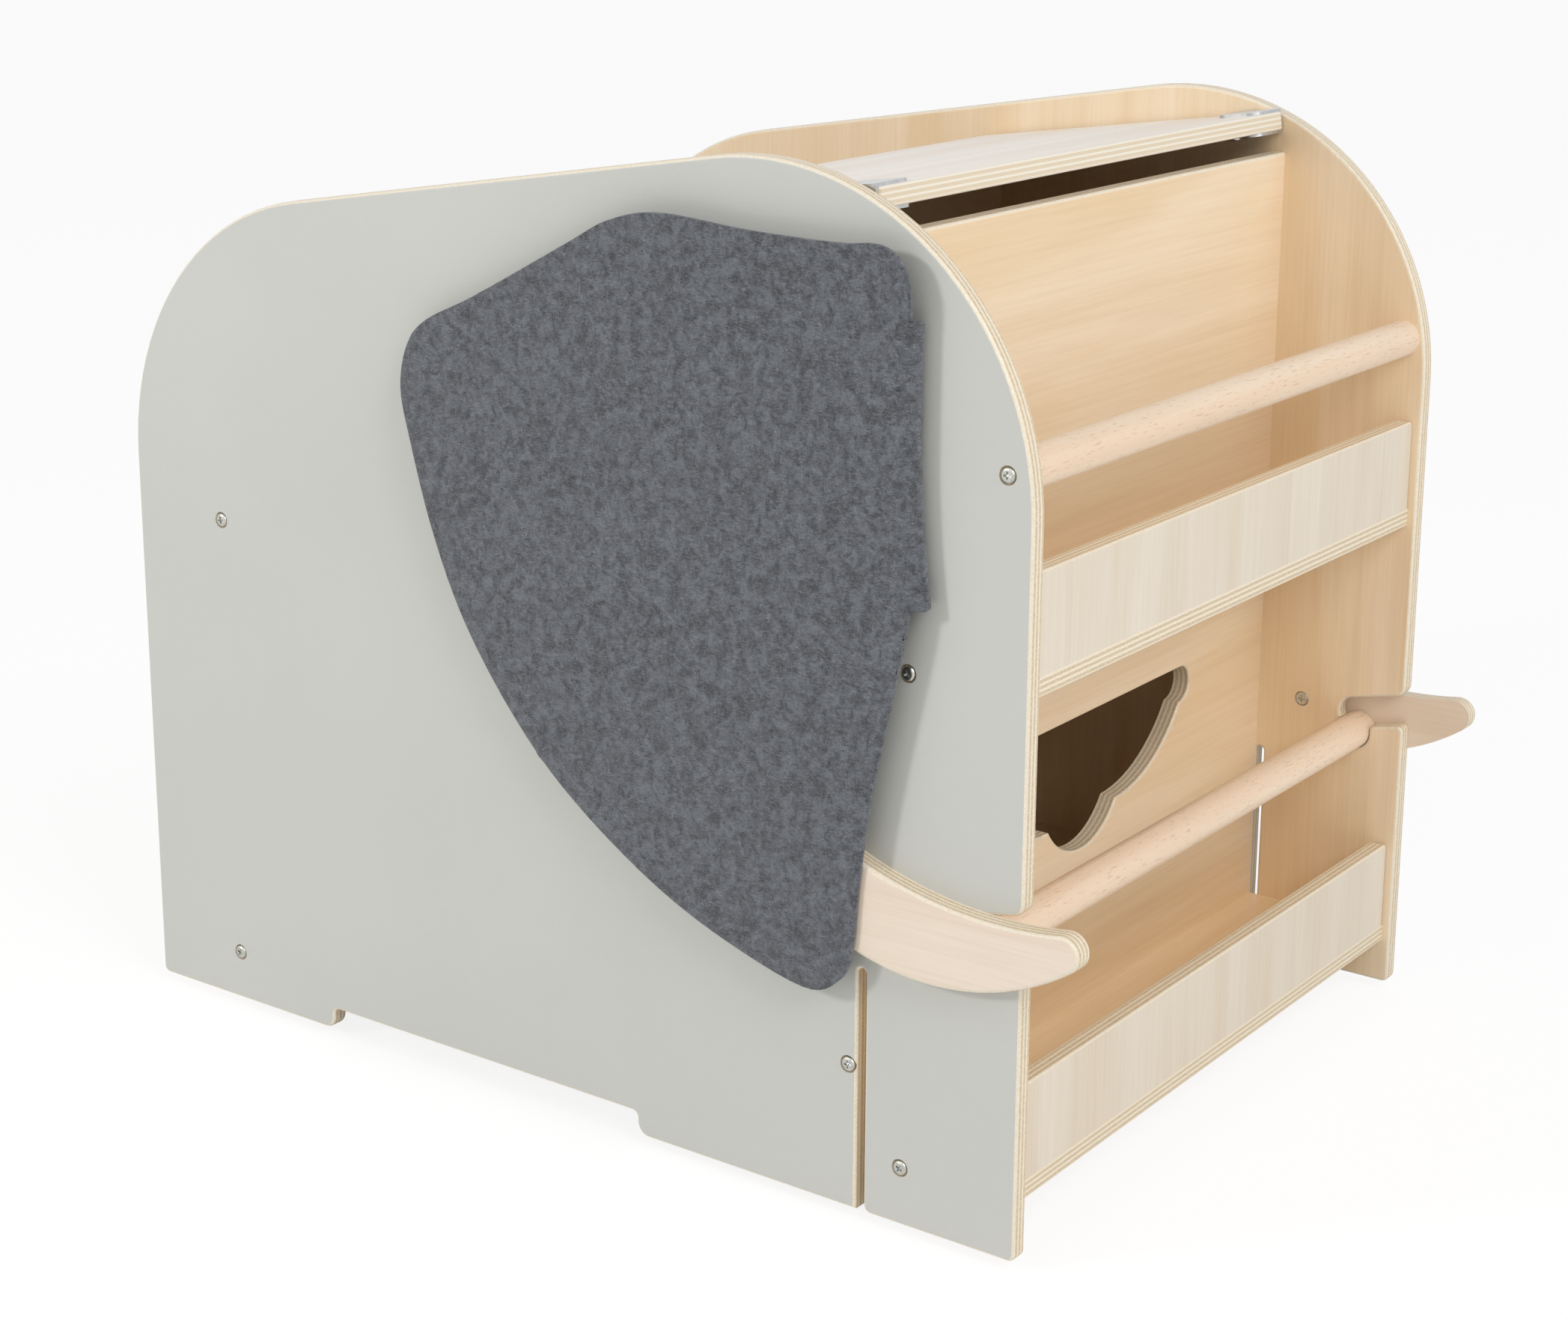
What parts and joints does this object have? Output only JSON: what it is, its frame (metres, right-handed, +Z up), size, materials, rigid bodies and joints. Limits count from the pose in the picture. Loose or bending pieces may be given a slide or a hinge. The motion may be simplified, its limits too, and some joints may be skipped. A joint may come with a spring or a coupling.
{
  "type": "rolling toy box",
  "caption": "Elephant-shaped rolling toy box with a lidded head compartment, an open toy bin, book trays, a paper rod, wooden tusks and folding felt ears.",
  "frame": {"origin": "on the floor, under the middle of the chest's bounding box", "axes": "+X to the elephant's left hand side seen from behind, +Y towards the tail, +Z up; the trunk and tusks face -Y"},
  "size_m": [0.542, 0.742, 0.6189],
  "materials": {
    "painted_ply": "warm light grey matt paint on birch plywood, clear edges",
    "birch_ply": "clear satin lacquer on birch plywood",
    "lid_ply": "pale whitewashed plywood",
    "tusk_ply": "clear satin lacquer on birch plywood, rounded edges",
    "beech": "turned beech, clear oil",
    "felt": "heather grey wool felt",
    "zinc_screw": "zinc-plated screws",
    "steel": "zinc-plated steel",
    "nylon": "natural nylon",
    "wheel_rubber": "soft dark grey tread"
  },
  "bodies": {
    "cabinet": {"caster_plate_front_left": "steel", "caster_plate_front_right": "steel", "caster_plate_rear_left": "steel", "caster_plate_rear_right": "steel", "caster_screws": "zinc_screw", "cleat_screws": "zinc_screw", "divider_board": "birch_ply", "divider_screws": "zinc_screw", "ear_screws_left": "zinc_screw", "ear_screws_right": "zinc_screw", "ear_strip_left": "birch_ply", "ear_strip_right": "birch_ply", "ear_tab_left": "felt", "ear_tab_right": "felt", "floor_board": "birch_ply", "floor_cleat_left": "birch_ply", "floor_cleat_right": "birch_ply", "floor_screws": "zinc_screw", "front_board": "birch_ply", "lower_tray_base": "birch_ply", "lower_tray_rail": "birch_ply", "panel_screws_left": "zinc_screw", "panel_screws_right": "zinc_screw", "pivot_bush_left": "nylon", "pivot_bush_right": "nylon", "rail_screws": "zinc_screw", "rear_board": "birch_ply", "side_panel_left": "painted_ply", "side_panel_right": "painted_ply", "tray_screws": "zinc_screw", "tusk_left": "tusk_ply", "tusk_right": "tusk_ply", "tusk_screws_left": "zinc_screw", "tusk_screws_right": "zinc_screw", "upper_rod": "beech", "upper_tray_base": "birch_ply", "upper_tray_rail": "birch_ply"},
    "lid": {"lid_board": "lid_ply", "lid_clamp_left": "steel", "lid_clamp_right": "steel", "lid_clamp_screws": "zinc_screw", "pivot_pin_left": "steel", "pivot_pin_right": "steel"},
    "lower_rod": {"lower_rod": "beech"},
    "ear_left": {"ear_left": "felt"},
    "ear_right": {"ear_right": "felt"},
    "caster_fork_front_left": {"caster_fork_front_left": "steel", "caster_axle_front_left": "steel"},
    "caster_wheel_front_left": {"caster_wheel_front_left": "wheel_rubber"},
    "caster_fork_front_right": {"caster_fork_front_right": "steel", "caster_axle_front_right": "steel"},
    "caster_wheel_front_right": {"caster_wheel_front_right": "wheel_rubber"},
    "caster_fork_rear_left": {"caster_fork_rear_left": "steel", "caster_axle_rear_left": "steel"},
    "caster_wheel_rear_left": {"caster_wheel_rear_left": "wheel_rubber"},
    "caster_fork_rear_right": {"caster_fork_rear_right": "steel", "caster_axle_rear_right": "steel"},
    "caster_wheel_rear_right": {"caster_wheel_rear_right": "wheel_rubber"}
  },
  "joints": [
    {"name": "lid_hinge", "type": "hinge", "parent": "cabinet", "child": "lid", "pos_m": [0, -0.20398, 0.598], "axis": [1, 0, 0], "range_deg": [0, 100]},
    {"name": "lower_rod_spin", "type": "hinge", "parent": "cabinet", "child": "lower_rod", "pos_m": [0, -0.29198, 0.184], "axis": [1, 0, 0], "continuous": true},
    {"name": "ear_left_flap", "type": "hinge", "parent": "cabinet", "child": "ear_left", "pos_m": [-0.26315, -0.25398, 0.4615], "axis": [0, 0, 1], "range_deg": [0, 90]},
    {"name": "ear_right_flap", "type": "hinge", "parent": "cabinet", "child": "ear_right", "pos_m": [0.26315, -0.25398, 0.4615], "axis": [0, 0, -1], "range_deg": [0, 90]},
    {"name": "caster_swivel_front_left", "type": "hinge", "parent": "cabinet", "child": "caster_fork_front_left", "pos_m": [-0.19, -0.15398, 0.045], "axis": [0, 0, 1], "continuous": true},
    {"name": "wheel_spin_front_left", "type": "hinge", "parent": "caster_fork_front_left", "child": "caster_wheel_front_left", "pos_m": [-0.19, -0.13798, 0.017], "axis": [1, 0, 0], "continuous": true},
    {"name": "caster_swivel_front_right", "type": "hinge", "parent": "cabinet", "child": "caster_fork_front_right", "pos_m": [0.19, -0.15398, 0.045], "axis": [0, 0, 1], "continuous": true},
    {"name": "wheel_spin_front_right", "type": "hinge", "parent": "caster_fork_front_right", "child": "caster_wheel_front_right", "pos_m": [0.19, -0.13798, 0.017], "axis": [1, 0, 0], "continuous": true},
    {"name": "caster_swivel_rear_left", "type": "hinge", "parent": "cabinet", "child": "caster_fork_rear_left", "pos_m": [-0.19, 0.24602, 0.045], "axis": [0, 0, 1], "continuous": true},
    {"name": "wheel_spin_rear_left", "type": "hinge", "parent": "caster_fork_rear_left", "child": "caster_wheel_rear_left", "pos_m": [-0.19, 0.26202, 0.017], "axis": [1, 0, 0], "continuous": true},
    {"name": "caster_swivel_rear_right", "type": "hinge", "parent": "cabinet", "child": "caster_fork_rear_right", "pos_m": [0.19, 0.24602, 0.045], "axis": [0, 0, 1], "continuous": true},
    {"name": "wheel_spin_rear_right", "type": "hinge", "parent": "caster_fork_rear_right", "child": "caster_wheel_rear_right", "pos_m": [0.19, 0.26202, 0.017], "axis": [1, 0, 0], "continuous": true}
  ]
}
